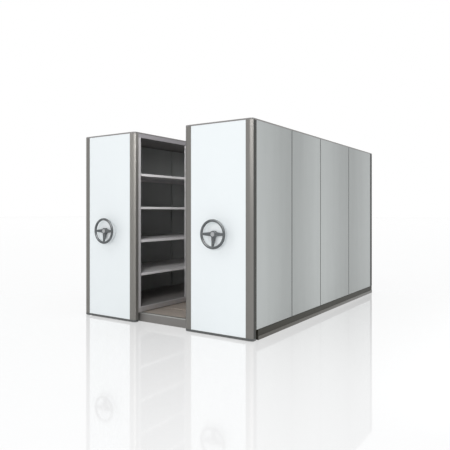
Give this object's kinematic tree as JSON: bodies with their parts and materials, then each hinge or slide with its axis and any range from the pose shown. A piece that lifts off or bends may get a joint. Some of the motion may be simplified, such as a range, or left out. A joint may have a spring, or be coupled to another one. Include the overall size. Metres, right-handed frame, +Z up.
{
  "type": "mobile shelving compactor",
  "caption": "Hand-driven mobile shelving compactor: wheeled open-sided shelf carriages with dished handwheels roll along rails set in a raised deck and close the aisle between them.",
  "frame": {"origin": "on the floor under the middle of the track platform, on the underside of the middle rail", "axes": "+X along the rails, across the aisle; -Y the way the handwheel fronts face; +Z up"},
  "size_m": [2.41, 3.7986, 2.2],
  "materials": {
    "white_panel": "satin white enamel",
    "grey_enamel": "satin grey enamel",
    "light_enamel": "satin light grey enamel",
    "taupe_enamel": "satin taupe enamel",
    "taupe_profile": "satin taupe anodised extrusion",
    "dark_trim": "matt dark grey",
    "deck_vinyl": "taupe vinyl on board",
    "bright_steel": "drawn bright steel",
    "wheel_casting": "dark grey metallic lacquer",
    "chain_steel": "oiled steel"
  },
  "bodies": {
    "track": {"rail_front": "bright_steel", "rail_middle": "bright_steel", "rail_rear": "bright_steel", "deck_front_strip": "deck_vinyl", "deck_front_board": "deck_vinyl", "deck_rear_board": "deck_vinyl", "deck_rear_strip": "deck_vinyl", "platform_edge": "taupe_profile"},
    "left_carriage": {"left_base": "taupe_enamel", "left_shelf_1": "light_enamel", "left_shelf_2": "light_enamel", "left_shelf_3": "light_enamel", "left_shelf_4": "light_enamel", "left_aisle_frame": "taupe_enamel", "left_outer_panel_1": "grey_enamel", "left_outer_panel_2": "grey_enamel", "left_outer_panel_3": "grey_enamel", "left_outer_panel_4": "grey_enamel", "left_end_panel": "light_enamel", "left_rear_panel": "grey_enamel", "left_roof": "taupe_enamel", "left_kick_trim": "dark_trim", "left_aisle_post": "taupe_profile", "left_outer_post": "taupe_profile", "left_front_panel": "white_panel", "left_bearing_plate": "light_enamel", "left_chain": "chain_steel"},
    "left_handwheel": {"left_handwheel": "wheel_casting", "left_hub_cap": "bright_steel", "left_hand_shaft": "bright_steel", "left_upper_sprocket": "bright_steel"},
    "left_drive_axle": {"left_drive_wheelset": "bright_steel", "left_lower_sprocket": "bright_steel"},
    "left_idle_axle": {"left_idle_wheelset": "bright_steel"},
    "right_carriage": {"right_base": "taupe_enamel", "right_shelf_1": "light_enamel", "right_shelf_2": "light_enamel", "right_shelf_3": "light_enamel", "right_shelf_4": "light_enamel", "right_aisle_frame": "taupe_enamel", "right_outer_panel_1": "grey_enamel", "right_outer_panel_2": "grey_enamel", "right_outer_panel_3": "grey_enamel", "right_outer_panel_4": "grey_enamel", "right_end_panel": "light_enamel", "right_rear_panel": "grey_enamel", "right_roof": "taupe_enamel", "right_kick_trim": "dark_trim", "right_aisle_post": "taupe_profile", "right_outer_post": "taupe_profile", "right_front_panel": "white_panel", "right_bearing_plate": "light_enamel", "right_chain": "chain_steel"},
    "right_handwheel": {"right_handwheel": "wheel_casting", "right_hub_cap": "bright_steel", "right_hand_shaft": "bright_steel", "right_upper_sprocket": "bright_steel"},
    "right_drive_axle": {"right_drive_wheelset": "bright_steel", "right_lower_sprocket": "bright_steel"},
    "right_idle_axle": {"right_idle_wheelset": "bright_steel"}
  },
  "joints": [
    {"name": "left_carriage_slide", "type": "slide", "parent": "track", "child": "left_carriage", "axis": [1, 0, 0], "range_m": [0, 0.36]},
    {"name": "left_handwheel_spin", "type": "hinge", "parent": "left_carriage", "child": "left_handwheel", "pos_m": [-0.785, -1.905, 1.05], "axis": [0, 1, 0], "range_deg": [0, 1720]},
    {"name": "left_drive_axle_spin", "type": "hinge", "parent": "left_carriage", "child": "left_drive_axle", "pos_m": [-1.065, 0, 0.122], "axis": [0, 1, 0], "range_deg": [0, 574]},
    {"name": "left_idle_axle_spin", "type": "hinge", "parent": "left_carriage", "child": "left_idle_axle", "pos_m": [-0.505, 0, 0.122], "axis": [0, 1, 0], "range_deg": [0, 574]},
    {"name": "right_carriage_slide", "type": "slide", "parent": "track", "child": "right_carriage", "axis": [-1, 0, 0], "range_m": [0, 0.36]},
    {"name": "right_handwheel_spin", "type": "hinge", "parent": "right_carriage", "child": "right_handwheel", "pos_m": [0.785, -1.905, 1.05], "axis": [0, -1, 0], "range_deg": [0, 1720]},
    {"name": "right_drive_axle_spin", "type": "hinge", "parent": "right_carriage", "child": "right_drive_axle", "pos_m": [1.065, 0, 0.122], "axis": [0, -1, 0], "range_deg": [0, 574]},
    {"name": "right_idle_axle_spin", "type": "hinge", "parent": "right_carriage", "child": "right_idle_axle", "pos_m": [0.505, 0, 0.122], "axis": [0, -1, 0], "range_deg": [0, 574]}
  ],
  "couplings": [
    {"joint": "left_handwheel_spin", "follows": "left_carriage_slide", "rad_per_m": 83.333},
    {"joint": "left_drive_axle_spin", "follows": "left_carriage_slide", "rad_per_m": 27.778},
    {"joint": "left_idle_axle_spin", "follows": "left_carriage_slide", "rad_per_m": 27.778},
    {"joint": "right_handwheel_spin", "follows": "right_carriage_slide", "rad_per_m": 83.333},
    {"joint": "right_drive_axle_spin", "follows": "right_carriage_slide", "rad_per_m": 27.778},
    {"joint": "right_idle_axle_spin", "follows": "right_carriage_slide", "rad_per_m": 27.778}
  ]
}
